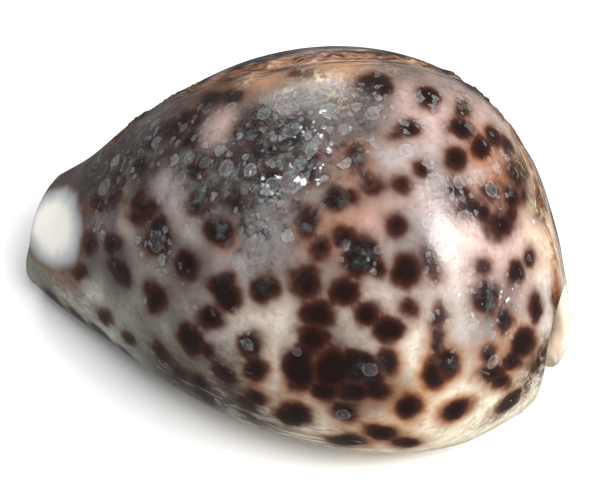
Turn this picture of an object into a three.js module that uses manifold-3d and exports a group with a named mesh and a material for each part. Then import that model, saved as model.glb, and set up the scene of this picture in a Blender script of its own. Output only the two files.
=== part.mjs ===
// A tiger cowrie shell, one piece, in millimetres, +Z up and resting on its toothed base.
// -X is the narrow front (anterior) end, +Y is the outer (labral) lip's side.
// The wall is one sheet that runs from the outer lip, round the base, margin and back,
// to the inner (columellar) lip and on into the rolled inner whorl. The slit between
// the two lips is open from end to end, and each end of it leaves through a notch.
import * as THREE from "three";
import { mergeVertices } from "three/addons/utils/BufferGeometryUtils.js";
import Module from "manifold-3d";

// Driving dimensions
const BODY_LENGTH = 86; // along the stations below, without the ends of the lips
const BACK_WALL = 1.9; // wall thickness on the back
const MARGIN_WALL = 2.8; // on the rounded margins
const BASE_WALL = 3.2; // on the base
const LIP_WALL = 4.4; // at the two lips
const WHORL_WALL = 1.4; // of the rolled inner whorl
const END_WALL = 3.4; // everywhere, at the two ends
const FRONT_TIPS = 1.2; // how far the two lips run on past the front station
const FRONT_NOTCH = 0.6; // and how far the back stops short of it
const REAR_OUTER_TIP = 2.2; // how far the outer lip runs on past the rear station
const REAR_BACK = 1.2; // and the back
const NOTCH_REACH = 0.22; // share of the length over which a notch fades out
const TEETH = 23; // on each lip
const TOOTH_FOOT = 1.8; // half width of a tooth's foot, inside the lip
const TOOTH_HEIGHT = 0.8;
const TOOTH_ROOT = 0.9; // how deep the foot sits in the lip
const TEETH_FROM = 0.05; // shares of the length between which the teeth stand
const TEETH_TO = 0.96;

// The outside of the shell at stations along its length, as a boat's table of offsets:
// at = share of the length, top = height of the back, labral and columellar = half widths on
// the two sides, margin = height of the widest point, base = height of the underside,
// slit = middle of the slit, gap = its half width, roll = how much of the whorl's roll there is.
const COLUMNS = ["at", "top", "labral", "columellar", "margin", "base", "slit", "gap", "roll"];
const OFFSETS = [
  [0.0, 16.8, 9.3, 8.0, 8.6, 1.6, 0.6, 3.2, 0.0],
  [0.08, 22.3, 13.8, 12.7, 10.0, 0.6, 2.0, 3.2, 0.45],
  [0.2, 33.2, 20.8, 18.5, 12.5, -0.1, 3.3, 3.1, 0.9],
  [0.4, 46.0, 28.4, 27.2, 16.0, -0.4, 3.8, 3.0, 1.0],
  [0.6, 51.4, 30.9, 31.8, 18.0, -0.4, 3.6, 2.9, 1.0],
  [0.78, 48.8, 28.5, 30.6, 18.5, -0.2, 2.2, 2.6, 0.95],
  [0.9, 39.5, 21.8, 24.4, 17.0, 0.8, -0.6, 2.4, 0.75],
  [0.97, 28.0, 13.4, 14.4, 14.0, 2.0, -2.8, 2.4, 0.3],
  [1.0, 20.5, 7.6, 8.4, 12.0, 3.2, -3.8, 2.4, 0.0],
];
const STATIONS = OFFSETS.map((row) => Object.fromEntries(COLUMNS.map((key, i) => [key, row[i]])));

// Smooth interpolation of one column of the table, by cubic pieces through the stations.
function slopeAt(key, i) {
  const before = STATIONS[Math.max(i - 1, 0)];
  const after = STATIONS[Math.min(i + 1, STATIONS.length - 1)];
  return (after[key] - before[key]) / (after.at - before.at);
}

function offset(key, t) {
  let i = 0;
  while (i < STATIONS.length - 2 && t > STATIONS[i + 1].at) i++;
  const a = STATIONS[i];
  const b = STATIONS[i + 1];
  const span = b.at - a.at;
  const s = (t - a.at) / span;
  const rise = 1 - s;
  return (
    a[key] * rise * rise * (1 + 2 * s) +
    b[key] * s * s * (3 - 2 * s) +
    slopeAt(key, i) * span * s * rise * rise -
    slopeAt(key, i + 1) * span * s * s * rise
  );
}

// Rises from 0 at low to 1 at high; low may be the larger of the two.
const smooth = (low, high, v) => {
  const s = Math.min(Math.max((v - low) / (high - low), 0), 1);
  return s * s * (3 - 2 * s);
};
const mix = (a, b, s) => a + (b - a) * s;

// Nearness to the two ends: 1 at the tip, fading to 0.
const frontShare = (t) => Math.max(0, 1 - t / NOTCH_REACH) ** 2;
const rearShare = (t) => Math.max(0, 1 - (1 - t) / NOTCH_REACH) ** 2;
// How far the sheet runs past the end stations, round the section: below 0 in the notches.
const frontTip = (u) =>
  mix(FRONT_TIPS, -FRONT_NOTCH, smooth(0.2, 0.38, u) * smooth(0.68, 0.55, u));
const rearTip = (u) =>
  REAR_OUTER_TIP * smooth(0.24, 0.1, u) + REAR_BACK * smooth(0.3, 0.42, u) * smooth(0.74, 0.6, u);
const endWall = (wall, t) => mix(wall, END_WALL, Math.max(frontShare(t), rearShare(t)));

// The middle of the wall in the section at t, as cubic curves between knots. Each knot has a
// place (y, z), the way the path runs there, how far its handles reach, and the wall's
// thickness. It starts at the outer lip's edge.
function knots(t) {
  const o = {};
  for (const key of COLUMNS) o[key] = offset(key, t);
  const back = endWall(BACK_WALL, t);
  const margin = endWall(MARGIN_WALL, t);
  const base = endWall(BASE_WALL, t);
  const lip = endWall(LIP_WALL, t);
  const floor = o.base + base / 2;
  const top = o.top - back / 2;
  const labral = o.labral - margin / 2;
  const columellar = o.columellar - margin / 2;
  const outerEdge = o.slit + o.gap;
  const innerEdge = o.slit - o.gap;
  const labralFoot = mix(outerEdge, labral, 0.36);
  // The rolled inner whorl, as wide as the room between the inner lip and the margin allows.
  const lipLine = innerEdge - lip / 2;
  const room = columellar + lipLine;
  const rollMiddle = lipLine - room * 0.27;
  const rolled = [
    { y: rollMiddle, z: floor, dy: 1, dz: 0, wall: base },
    { y: lipLine, z: floor + 6.5, dy: 0, dz: 1, wall: lip * 0.8 },
    { y: rollMiddle, z: mix(floor, top, 0.56), dy: -1, dz: 0, wall: WHORL_WALL },
    { y: rollMiddle - room * 0.32, z: mix(floor, top, 0.3), dy: 0, dz: -1, wall: WHORL_WALL },
  ];
  // At the two ends the sheet just stops at the slit instead.
  const reach = innerEdge + columellar;
  const plain = [
    { y: innerEdge - reach * 0.55, z: floor, dy: 1, dz: 0, wall: base },
    { y: innerEdge - reach * 0.3, z: floor + 0.2, dy: 1, dz: 0.1, wall: base },
    { y: innerEdge - reach * 0.14, z: floor + 0.5, dy: 1, dz: 0.2, wall: base },
    { y: innerEdge, z: floor + 0.9, dy: 1, dz: 0.3, wall: base },
  ];
  const inner = plain.map((knot, i) => {
    const blended = {};
    for (const key of Object.keys(knot)) blended[key] = mix(knot[key], rolled[i][key], o.roll);
    return blended;
  });
  return [
    { y: outerEdge, z: floor + mix(0.9, 2.6, o.roll), dy: 0.75, dz: -0.66, wall: lip },
    { y: labralFoot, z: floor, dy: 1, dz: 0, wall: base },
    { y: labral, z: o.margin, dy: 0, dz: 1, wall: margin },
    { y: 1, z: top, dy: -1, dz: 0, wall: back },
    { y: -columellar, z: o.margin, dy: 0, dz: -1, wall: margin },
    ...inner,
  ];
}

// Share of the handles: above 0.55 the corner is fuller than an ellipse's.
const FULLNESS = [0.5, 0.66, 0.58, 0.58, 0.66, 0.62, 0.56, 0.56];
// Where each stretch between two knots starts, along the sheet's own 0 to 1.
const STRETCHES = [0, 0.07, 0.2, 0.41, 0.62, 0.76, 0.83, 0.92, 1];

function middle(u, t) {
  const k = knots(t);
  let i = 0;
  while (i < STRETCHES.length - 2 && u > STRETCHES[i + 1]) i++;
  const s = (u - STRETCHES[i]) / (STRETCHES[i + 1] - STRETCHES[i]);
  const a = k[i];
  const b = k[i + 1];
  const reach = FULLNESS[i];
  const width = Math.abs(b.y - a.y) * reach;
  const height = Math.abs(b.z - a.z) * reach;
  const w0 = (1 - s) ** 3;
  const w1 = 3 * s * (1 - s) ** 2;
  const w2 = 3 * s * s * (1 - s);
  const w3 = s ** 3;
  const y = w0 * a.y + w1 * (a.y + a.dy * width) + w2 * (b.y - b.dy * width) + w3 * b.y;
  const z = w0 * a.z + w1 * (a.z + a.dz * height) + w2 * (b.z - b.dz * height) + w3 * b.z;
  const x =
    BODY_LENGTH * (t - 0.5) - frontTip(u) * frontShare(t) + rearTip(u) * rearShare(t);
  return { place: new THREE.Vector3(x, y, z), wall: mix(a.wall, b.wall, s * s * (3 - 2 * s)) };
}

// Half of a round edge: 0 at the edge, 1 from one radius inwards.
const edge = (share) => Math.sqrt(1 - (1 - Math.min(Math.max(share, 0), 1)) ** 2);

// Step in u and t over which the sheet's directions are taken
const STEP = 1e-3;

// The wall's outside (side = 1) or inside (side = -1) at u round the section, t along the shell.
function wallPoint(u, t, side) {
  const here = middle(u, t);
  const u0 = Math.max(u - STEP, 0);
  const u1 = Math.min(u + STEP, 1);
  const t0 = Math.max(t - STEP, 0);
  const t1 = Math.min(t + STEP, 1);
  const round = middle(u1, t).place.sub(middle(u0, t).place);
  const along = middle(u, t1).place.sub(middle(u, t0).place);
  const across = round.clone().divideScalar(u1 - u0).length();
  const lengthwise = along.clone().divideScalar(t1 - t0).length();
  const normal = round.clone().cross(along).normalize();
  const radius = here.wall / 2;
  const rounding =
    edge((u * across) / radius) *
    edge(((1 - u) * across) / radius) *
    edge((t * lengthwise) / radius) *
    edge(((1 - t) * lengthwise) / radius);
  return {
    place: here.place.addScaledVector(normal, side * radius * rounding),
    normal: normal.multiplyScalar(side),
  };
}

// Shares from 0 to 1 that crowd towards both ends.
function crowded(count, crowding) {
  return Array.from({ length: count + 1 }, (_, i) => {
    const s = i / count;
    return mix(s, 0.5 - 0.5 * Math.cos(Math.PI * s), crowding);
  });
}

// The whole sheet: its outside and inside as two grids, which meet all along the rim.
const AROUND = 58;
const ALONG = 24;

function sheet() {
  const us = crowded(AROUND, 0.35);
  const ts = crowded(ALONG, 0.6);
  const places = [];
  for (const side of [1, -1]) {
    for (const u of us) {
      for (const t of ts) {
        places.push(...wallPoint(u, t, side).place.toArray());
      }
    }
  }
  const faces = [];
  const grid = us.length * ts.length;
  for (let i = 0; i < AROUND; i++) {
    for (let j = 0; j < ALONG; j++) {
      const a = i * ts.length + j;
      const b = a + ts.length;
      faces.push(a, b, b + 1, a, b + 1, a + 1);
      faces.push(grid + a, grid + b + 1, grid + b, grid + a, grid + a + 1, grid + b + 1);
    }
  }
  return closed(places, faces);
}

// Joins the points that coincide and drops the faces that this leaves without area.
function closed(places, faces) {
  const open = new THREE.BufferGeometry();
  open.setAttribute("position", new THREE.Float32BufferAttribute(places, 3));
  open.setIndex(faces);
  const joined = mergeVertices(open, 1e-3);
  const kept = [];
  const index = joined.index.array;
  for (let i = 0; i < index.length; i += 3) {
    const [a, b, c] = [index[i], index[i + 1], index[i + 2]];
    if (a !== b && b !== c && c !== a) kept.push(a, b, c);
  }
  joined.setIndex(kept);
  return joined;
}

// A tooth is a low ridge with a triangular section, laid across a lip.
// Its path is a list of places with the lip's outward direction at each.
function tooth(path) {
  const places = [];
  const last = path.length - 1;
  path.forEach((stop, i) => {
    const before = path[Math.max(i - 1, 0)].place;
    const after = path[Math.min(i + 1, last)].place;
    const run = after.clone().sub(before).normalize();
    const aside = run.clone().cross(stop.normal).normalize();
    const outward = aside.clone().cross(run).normalize();
    const taper = Math.sin((Math.PI * (i + 0.55)) / (last + 1.1)) ** 0.6;
    const foot = stop.place.clone().addScaledVector(outward, -TOOTH_ROOT);
    const width = TOOTH_FOOT * mix(0.5, 1, taper);
    const crest = stop.place.clone().addScaledVector(outward, TOOTH_HEIGHT * mix(-0.3, 1, taper));
    places.push(...foot.clone().addScaledVector(aside, width).toArray());
    places.push(...crest.toArray());
    places.push(...foot.clone().addScaledVector(aside, -width).toArray());
  });
  const faces = [0, 1, 2];
  for (let i = 0; i < last; i++) {
    for (let k = 0; k < 3; k++) {
      const a = 3 * i + k;
      const b = 3 * i + ((k + 1) % 3);
      faces.push(a, a + 3, b + 3, a, b + 3, b);
    }
  }
  const e = 3 * last;
  faces.push(e, e + 2, e + 1);
  return closed(places, faces);
}

// Stops of a tooth on the outer lip: over the lip's underside, round its edge and inside.
function outerLipPath(t) {
  const stops = [];
  const slant = 0.012;
  for (const step of [-4, -2.2, -0.7, 1]) {
    const side = step > 0 ? -1 : 1;
    const u = Math.abs(step) * 0.015;
    const along = t + (slant * step) / 4;
    const { place, normal } = wallPoint(u, along, side);
    const tangent = middle(u + STEP, along).place.sub(middle(Math.max(u - STEP, 0), along).place);
    const edgeShare = Math.max(0, 1 - Math.abs(step) / 1.6);
    normal.multiplyScalar(1 - edgeShare * 0.95).addScaledVector(tangent.normalize(), -edgeShare);
    stops.push({ place, normal: normal.normalize() });
  }
  return stops;
}

// Stops of a tooth on the inner lip: from the underside round and up into the slit.
function innerLipPath(t) {
  return [0.745, 0.775, 0.803, 0.832].map((u, i) => wallPoint(u, t + 0.008 * (1.5 - i), 1));
}

const wasm = await Module();
wasm.setup();

function solid(geometry) {
  return new wasm.Manifold(
    new wasm.Mesh({
      numProp: 3,
      vertProperties: new Float32Array(geometry.attributes.position.array),
      triVerts: new Uint32Array(geometry.index.array),
    }),
  );
}

const body = solid(sheet());
const ridges = [];
for (let n = 0; n < TEETH; n++) {
  const t = mix(TEETH_FROM, TEETH_TO, n / (TEETH - 1));
  ridges.push(solid(tooth(outerLipPath(t))), solid(tooth(innerLipPath(t))));
}
const joined = wasm.Manifold.union([body, ...ridges]);

// What would reach below the table is ground flat: the base rests on these two strips.
const slab = new THREE.BoxGeometry(200, 200, 20).translate(0, 0, -10);
slab.deleteAttribute("normal");
slab.deleteAttribute("uv");
const shellMesh = joined.subtract(solid(mergeVertices(slab))).getMesh();

const shellGeometry = new THREE.BufferGeometry();
shellGeometry.setAttribute("position", new THREE.Float32BufferAttribute(shellMesh.vertProperties, 3));
shellGeometry.setIndex(Array.from(shellMesh.triVerts));
shellGeometry.computeBoundingBox();
const middleOfBox = shellGeometry.boundingBox.getCenter(new THREE.Vector3());
shellGeometry.translate(-middleOfBox.x, -middleOfBox.y, -shellGeometry.boundingBox.min.z);
shellGeometry.computeVertexNormals();

const enamel = new THREE.MeshStandardMaterial({ color: 0x8d7a6e, roughness: 0.25, metalness: 0 });
const shell = new THREE.Mesh(shellGeometry, enamel);
shell.name = "shell";

const group = new THREE.Group();
group.name = "tiger_cowrie_shell";
group.add(shell);
export default group;
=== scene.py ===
# A glossy tiger cowrie shell on a plain pale floor, in soft studio light.
import math

import bpy
import numpy as np
from mathutils import Matrix, Vector


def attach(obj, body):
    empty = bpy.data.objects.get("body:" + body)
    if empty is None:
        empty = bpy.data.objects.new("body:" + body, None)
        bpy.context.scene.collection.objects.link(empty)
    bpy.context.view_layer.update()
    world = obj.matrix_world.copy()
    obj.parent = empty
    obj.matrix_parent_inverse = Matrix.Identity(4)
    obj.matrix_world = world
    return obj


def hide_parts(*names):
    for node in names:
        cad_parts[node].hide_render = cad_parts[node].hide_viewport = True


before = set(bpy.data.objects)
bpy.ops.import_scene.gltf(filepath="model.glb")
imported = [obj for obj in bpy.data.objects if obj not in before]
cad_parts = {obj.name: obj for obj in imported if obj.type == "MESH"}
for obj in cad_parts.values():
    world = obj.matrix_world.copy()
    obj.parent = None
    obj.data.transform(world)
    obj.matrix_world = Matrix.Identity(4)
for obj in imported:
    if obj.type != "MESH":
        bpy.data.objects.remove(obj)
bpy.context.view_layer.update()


# Millimetres to one of Blender's metres
MILLIMETRES = 1000.0

# Sizes of the shell, in millimetres, the same as the solid's
BODY_LENGTH = 86.0
BACK_WALL = 1.9
MARGIN_WALL = 2.8
BASE_WALL = 3.2
LIP_WALL = 4.4
WHORL_WALL = 1.4
END_WALL = 3.4
FRONT_TIPS = 1.2
FRONT_NOTCH = 0.6
REAR_OUTER_TIP = 2.2
REAR_BACK = 1.2
NOTCH_REACH = 0.22
TEETH = 23
TOOTH_HALF_WIDTH = 0.95
TOOTH_HEIGHT = 0.8
TEETH_FROM = 0.05
TEETH_TO = 0.96

# Sections along the length: share of the length, height of the back, half width on the outer
# lip's side, half width on the inner lip's side, height of the widest point, height of the
# underside, middle of the slit, half width of the slit, share of the inner whorl's roll.
STATIONS = np.array(
    [
        (0.00, 16.8, 9.3, 8.0, 8.6, 1.6, 0.6, 3.2, 0.0),
        (0.08, 22.3, 13.8, 12.7, 10.0, 0.6, 2.0, 3.2, 0.45),
        (0.20, 33.2, 20.8, 18.5, 12.5, -0.1, 3.3, 3.1, 0.9),
        (0.40, 46.0, 28.4, 27.2, 16.0, -0.4, 3.8, 3.0, 1.0),
        (0.60, 51.4, 30.9, 31.8, 18.0, -0.4, 3.6, 2.9, 1.0),
        (0.78, 48.8, 28.5, 30.6, 18.5, -0.2, 2.2, 2.6, 0.95),
        (0.90, 39.5, 21.8, 24.4, 17.0, 0.8, -0.6, 2.4, 0.75),
        (0.97, 28.0, 13.4, 14.4, 14.0, 2.0, -2.8, 2.4, 0.3),
        (1.00, 20.5, 7.6, 8.4, 12.0, 3.2, -3.8, 2.4, 0.0),
    ]
)
TOP, LABRAL, COLUMELLAR, MARGIN, BASE, SLIT, GAP, ROLL = range(1, 9)

# Where each stretch of the wall starts on its way round the section, and how full its corners are
STRETCHES = np.array([0, 0.07, 0.2, 0.41, 0.62, 0.76, 0.83, 0.92, 1])
FULLNESS = np.array([0.5, 0.66, 0.58, 0.58, 0.66, 0.62, 0.56, 0.56])

# The camera, as the picture was taken: where it looks, from which side, how far off
AIM = (2.2, 0.0, 18.4)
AZIMUTH = 24.4
ELEVATION = 46.2
ROLL_ANGLE = -5.6
DISTANCE = 330.0
LENS = 125.0
SENSOR = 36.0
PICTURE_WIDTH = 600
PICTURE_HEIGHT = 496


def mix(a, b, s):
    return a + (b - a) * s


def smooth(low, high, v):
    s = np.clip((v - low) / (high - low), 0.0, 1.0)
    return s * s * (3 - 2 * s)


def offset(column, t):
    """One column of the stations, smoothly between them."""
    at = STATIONS[:, 0]
    value = STATIONS[:, column]
    before = np.maximum(np.arange(len(at)) - 1, 0)
    after = np.minimum(np.arange(len(at)) + 1, len(at) - 1)
    slope = (value[after] - value[before]) / (at[after] - at[before])
    i = np.clip(np.searchsorted(at, t, side="left") - 1, 0, len(at) - 2)
    span = at[i + 1] - at[i]
    s = (t - at[i]) / span
    rise = 1 - s
    return (
        value[i] * rise * rise * (1 + 2 * s)
        + value[i + 1] * s * s * (3 - 2 * s)
        + slope[i] * span * s * rise * rise
        - slope[i + 1] * span * s * s * rise
    )


def front_share(t):
    return np.maximum(0, 1 - t / NOTCH_REACH) ** 2


def rear_share(t):
    return np.maximum(0, 1 - (1 - t) / NOTCH_REACH) ** 2


def front_tip(u):
    back = smooth(0.2, 0.38, u) * smooth(0.68, 0.55, u)
    return mix(FRONT_TIPS, -FRONT_NOTCH, back)


def rear_tip(u):
    back = smooth(0.3, 0.42, u) * smooth(0.74, 0.6, u)
    return REAR_OUTER_TIP * smooth(0.24, 0.1, u) + REAR_BACK * back


def knots(t):
    """The middle of the wall in the sections at t, as knots: y, z, way it runs, wall."""
    ends = np.maximum(front_share(t), rear_share(t))
    walls = (BACK_WALL, MARGIN_WALL, BASE_WALL, LIP_WALL)
    back, margin, base, lip = (mix(wall, END_WALL, ends) for wall in walls)
    one = np.ones_like(t)
    nil = np.zeros_like(t)
    roll = offset(ROLL, t)
    floor = offset(BASE, t) + base / 2
    top = offset(TOP, t) - back / 2
    labral = offset(LABRAL, t) - margin / 2
    columellar = offset(COLUMELLAR, t) - margin / 2
    widest = offset(MARGIN, t)
    outer_edge = offset(SLIT, t) + offset(GAP, t)
    inner_edge = offset(SLIT, t) - offset(GAP, t)
    lip_line = inner_edge - lip / 2
    room = columellar + lip_line
    roll_middle = lip_line - room * 0.27
    rolled = [
        (roll_middle, floor, one, nil, base),
        (lip_line, floor + 6.5, nil, one, lip * 0.8),
        (roll_middle, mix(floor, top, 0.56), -one, nil, WHORL_WALL * one),
        (roll_middle - room * 0.32, mix(floor, top, 0.3), nil, -one, WHORL_WALL * one),
    ]
    reach = inner_edge + columellar
    plain = [
        (inner_edge - reach * 0.55, floor, one, nil, base),
        (inner_edge - reach * 0.3, floor + 0.2, one, 0.1 * one, base),
        (inner_edge - reach * 0.14, floor + 0.5, one, 0.2 * one, base),
        (inner_edge, floor + 0.9, one, 0.3 * one, base),
    ]
    inner = [
        tuple(mix(p, r, roll) for p, r in zip(plain_knot, rolled_knot))
        for plain_knot, rolled_knot in zip(plain, rolled)
    ]
    return [
        (outer_edge, floor + mix(0.9, 2.6, roll), 0.75 * one, -0.66 * one, lip),
        (mix(outer_edge, labral, 0.36), floor, one, nil, base),
        (labral, widest, nil, one, margin),
        (one, top, -one, nil, back),
        (-columellar, widest, nil, -one, margin),
        *inner,
    ]


def middle(u, t):
    """Places on the middle of the wall for a column of u and a row of t, and the wall there."""
    table = np.array([[column + 0 * t for column in knot] for knot in knots(t)])
    i = np.clip(np.searchsorted(STRETCHES, u, side="left") - 1, 0, len(STRETCHES) - 2)
    s = ((u - STRETCHES[i]) / (STRETCHES[i + 1] - STRETCHES[i]))[:, None]
    a = table[i]
    b = table[i + 1]
    reach = FULLNESS[i][:, None]
    width = np.abs(b[:, 0] - a[:, 0]) * reach
    height = np.abs(b[:, 1] - a[:, 1]) * reach
    w0 = (1 - s) ** 3
    w1 = 3 * s * (1 - s) ** 2
    w2 = 3 * s * s * (1 - s)
    w3 = s**3
    y = w0 * a[:, 0] + w1 * (a[:, 0] + a[:, 2] * width)
    y = y + w2 * (b[:, 0] - b[:, 2] * width) + w3 * b[:, 0]
    z = w0 * a[:, 1] + w1 * (a[:, 1] + a[:, 3] * height)
    z = z + w2 * (b[:, 1] - b[:, 3] * height) + w3 * b[:, 1]
    x = (
        BODY_LENGTH * (t[None, :] - 0.5)
        - front_tip(u)[:, None] * front_share(t)[None, :]
        + rear_tip(u)[:, None] * rear_share(t)[None, :]
    )
    wall = mix(a[:, 4], b[:, 4], s * s * (3 - 2 * s))
    return np.stack([x, y, z], axis=2), wall


def rim(share):
    """Half of a round edge: 0 at the edge, 1 from one radius inwards."""
    return np.sqrt(1 - (1 - np.clip(share, 0, 1)) ** 2)


# A short step in shares, for the way along the wall, and the least length that still has a way
STEP = 1e-3
LEAST_LENGTH = 1e-6


def wall_grid(u, t):
    """The wall's middle, the way out of it, its half thickness and the way along the section."""
    place, wall = middle(u, t)
    u0 = np.maximum(u - STEP, 0)
    u1 = np.minimum(u + STEP, 1)
    t0 = np.maximum(t - STEP, 0)
    t1 = np.minimum(t + STEP, 1)
    around = (middle(u1, t)[0] - middle(u0, t)[0]) / (u1 - u0)[:, None, None]
    along = (middle(u, t1)[0] - middle(u, t0)[0]) / (t1 - t0)[None, :, None]
    across = np.linalg.norm(around, axis=2)
    lengthwise = np.linalg.norm(along, axis=2)
    normal = np.cross(around, along)
    normal /= np.linalg.norm(normal, axis=2, keepdims=True)
    radius = wall / 2
    u = u[:, None]
    t = t[None, :]
    near_lip = np.clip(u * across / radius, 0, 1)
    half = radius * rim(near_lip) * rim((1 - u) * across / radius)
    half = half * rim(t * lengthwise / radius) * rim((1 - t) * lengthwise / radius)
    return place, normal, half, around / across[..., None], near_lip


def spread(breaks, counts):
    """Samples with a stated number between each two breaks."""
    parts = [
        np.linspace(a, b, n, endpoint=False) for a, b, n in zip(breaks[:-1], breaks[1:], counts)
    ]
    return np.concatenate(parts + [np.array(breaks[-1:])])


def rounded_start(reach, count):
    """Samples from 0 up to reach that keep a round edge round."""
    return reach * (1 - np.cos(np.linspace(0, math.pi / 2, count, endpoint=False)))


# The grid: where its rows change their spacing on the way round, and how many lie in each stretch
ROW_BREAKS = [0.021, 0.08, 0.2, 0.41, 0.62, 0.735, 0.85, 0.92, 0.995]
ROW_COUNTS = [13, 27, 58, 56, 28, 30, 9, 7]
COLUMN_BREAKS = [0.02, 0.98]
COLUMN_COUNTS = [186]
EDGE_ROWS = 8
INNER_EDGE_ROWS = 4

around_shares = np.concatenate(
    [
        rounded_start(ROW_BREAKS[0], EDGE_ROWS),
        spread(ROW_BREAKS, ROW_COUNTS)[:-1],
        1 - rounded_start(1 - ROW_BREAKS[-1], INNER_EDGE_ROWS)[::-1],
    ]
)
along_shares = np.concatenate(
    [
        rounded_start(COLUMN_BREAKS[0], EDGE_ROWS),
        spread(COLUMN_BREAKS, COLUMN_COUNTS)[:-1],
        1 - rounded_start(1 - COLUMN_BREAKS[-1], EDGE_ROWS)[::-1],
    ]
)


# Where the teeth fade in and out on the way round the section: on the outer lip, on both sides of
# the inner lip's fold, and at the lips' edge inside
OUTER_LIP = (0.07, 0.05)
FOLD_STARTS = (0.735, 0.757)
FOLD_ENDS = (0.845, 0.826)
INSIDE_LIP = (0.022, 0.008)

# How the teeth lean along the shell: on the outer lip, and on the inner lip from its start
OUTER_LEAN = -0.2
INNER_LEAN = 0.008
INNER_LEAN_START = 0.745
INNER_LEAN_STEP = 0.029


def tooth_ridges(u, t, side):
    """How far up a tooth each place is, from 0 between the teeth to 1 on a crest."""
    step = (TEETH_TO - TEETH_FROM) / (TEETH - 1)
    outer_slant = OUTER_LEAN * u * side
    inner_slant = INNER_LEAN * (1.5 - (u - INNER_LEAN_START) / INNER_LEAN_STEP)
    slant = np.where(u < 0.4, outer_slant, inner_slant)[:, None]
    which = np.clip(np.round((t[None, :] - slant - TEETH_FROM) / step), 0, TEETH - 1)
    away = (t[None, :] - slant - TEETH_FROM - which * step) * BODY_LENGTH / TOOTH_HALF_WIDTH
    ridge = np.cos(np.clip(np.abs(away), 0, 1) * math.pi / 2) ** 2
    if side > 0:
        on_lip = smooth(*OUTER_LIP, u) + smooth(*FOLD_STARTS, u) * smooth(*FOLD_ENDS, u)
    else:
        on_lip = smooth(*INSIDE_LIP, u)
    return ridge * on_lip[:, None]


# The shell's surface
def make_places():
    """Vertices of the outside grid, then of the inside grid, with what the patterns need."""
    place, normal, half, run, near_lip = wall_grid(around_shares, along_shares)
    places = []
    ways = []
    teeth = []
    for side in (1, -1):
        places.append(place + normal * (side * half)[..., None])
        way = normal * (side * near_lip)[..., None] - run * (1 - near_lip)[..., None]
        ways.append(way / np.maximum(np.linalg.norm(way, axis=2, keepdims=True), LEAST_LENGTH))
        teeth.append(tooth_ridges(around_shares, along_shares, side))
    return np.array(places), np.array(ways), np.array(teeth), normal


places, tooth_ways, teeth, outward = make_places()
rows, columns = places.shape[1:3]


# The picture plane, for marks that are placed as the camera sees them
def way_from(azimuth, elevation):
    """The way from the shell to this azimuth and elevation, in degrees."""
    a, e = math.radians(azimuth), math.radians(elevation)
    return np.array([math.sin(a) * math.cos(e), -math.cos(a) * math.cos(e), math.sin(e)])


def camera_axes():
    """The ways to the camera, to the picture's right and to its top."""
    azimuth, roll = math.radians(AZIMUTH), math.radians(ROLL_ANGLE)
    back = way_from(AZIMUTH, ELEVATION)
    level = np.array([math.cos(azimuth), math.sin(azimuth), 0])
    upright = np.cross(back, level)
    right = math.cos(roll) * level + math.sin(roll) * upright
    up = -math.sin(roll) * level + math.cos(roll) * upright
    return back, right, up


back_way, right_way, up_way = camera_axes()
eye = np.array(AIM) + DISTANCE * back_way
pixels_per_unit = LENS / SENSOR * PICTURE_WIDTH


def in_picture(p):
    """Where a place shows in the picture: to the right and down, in its pixels."""
    q = np.asarray(p) - np.array(AIM)
    depth = DISTANCE - q @ back_way
    right = PICTURE_WIDTH / 2 + pixels_per_unit * (q @ right_way) / depth
    down = PICTURE_HEIGHT / 2 - pixels_per_unit * (q @ up_way) / depth
    return np.stack([right, down], axis=-1)


# The origin sits under the middle of the box, on the base, as the solid's does.
flat = places.reshape(-1, 3)
above_table = np.maximum(flat[:, 2], 0)
low = flat.min(axis=0)
high = flat.max(axis=0)
centred = flat[:, :2] - (low + high)[:2] / 2
places = np.column_stack([centred, above_table]).reshape(places.shape)

outside = places[0].reshape(-1, 3)
normals = outward.reshape(-1, 3)
facing = np.einsum("ij,ij->i", normals, eye - outside)
facing = facing / np.linalg.norm(eye - outside, axis=1)
seen_at = in_picture(outside)

# Only the wall's true outside takes marks, not the lips' insides or the rolled whorl, and a mark in
# the picture lies where the wall faces the camera.
OUTSIDE_UNTIL = 0.78
LEAST_FACING = 0.02
true_outside = np.repeat(around_shares < OUTSIDE_UNTIL, columns)
faces_camera = (facing > LEAST_FACING) & true_outside


def away_from(place):
    """How far each vertex of the outside is from a place, in mm."""
    return np.linalg.norm(outside - place, axis=1)


def anchor(right, down):
    """The vertex of the outside that shows at this place in the picture."""
    away = np.hypot(seen_at[:, 0] - right, seen_at[:, 1] - down)
    away[~faces_camera] = np.inf
    return int(np.argmin(away))


# How short a level way may get before another one is taken
NEARLY_NONE = 0.1


def tangents(normal):
    """Two ways along the surface; any level way does where the surface itself is level."""
    first = np.cross(normal, (0.0, 0.0, 1.0))
    if np.linalg.norm(first) < NEARLY_NONE:
        first = np.array([1.0, 0.0, 0.0])
    first = first / np.linalg.norm(first)
    return first, np.cross(normal, first)


# The longest an oval mark may be for its width
MOST_DRAWN_OUT = 1.9

# A short step on the surface, and how far marks and spots reach, in mm
PROBE = 0.1
MARK_REACH = 6
SPOT_REACH = 12
BEYOND = 30.0


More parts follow.
